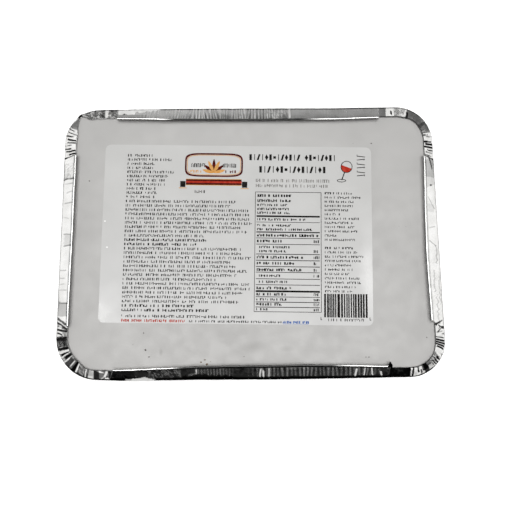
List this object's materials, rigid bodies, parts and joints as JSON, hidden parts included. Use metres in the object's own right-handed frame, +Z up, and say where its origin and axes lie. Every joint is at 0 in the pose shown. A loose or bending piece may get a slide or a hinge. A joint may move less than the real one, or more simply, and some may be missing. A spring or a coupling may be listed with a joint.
{
  "type": "foil tray meal",
  "caption": "Family-size takeaway meal shut in an oblong foil tray with a folded rim, a white board lid and a paper label.",
  "frame": {"origin": "centre of the tray's flat base, on the surface that it stands on", "axes": "+X along the tray's length, +Y from the viewer's side to the far side, +Z up through the lid"},
  "size_m": [0.2152, 0.1548, 0.0513],
  "materials": {
    "foil": "bright wrinkled foil",
    "board": "coated white board, satin",
    "label_paper": "printed coated paper"
  },
  "bodies": {
    "root": {"foil_tray": "foil", "board_lid": "board", "label": "label_paper"}
  },
  "joints": []
}
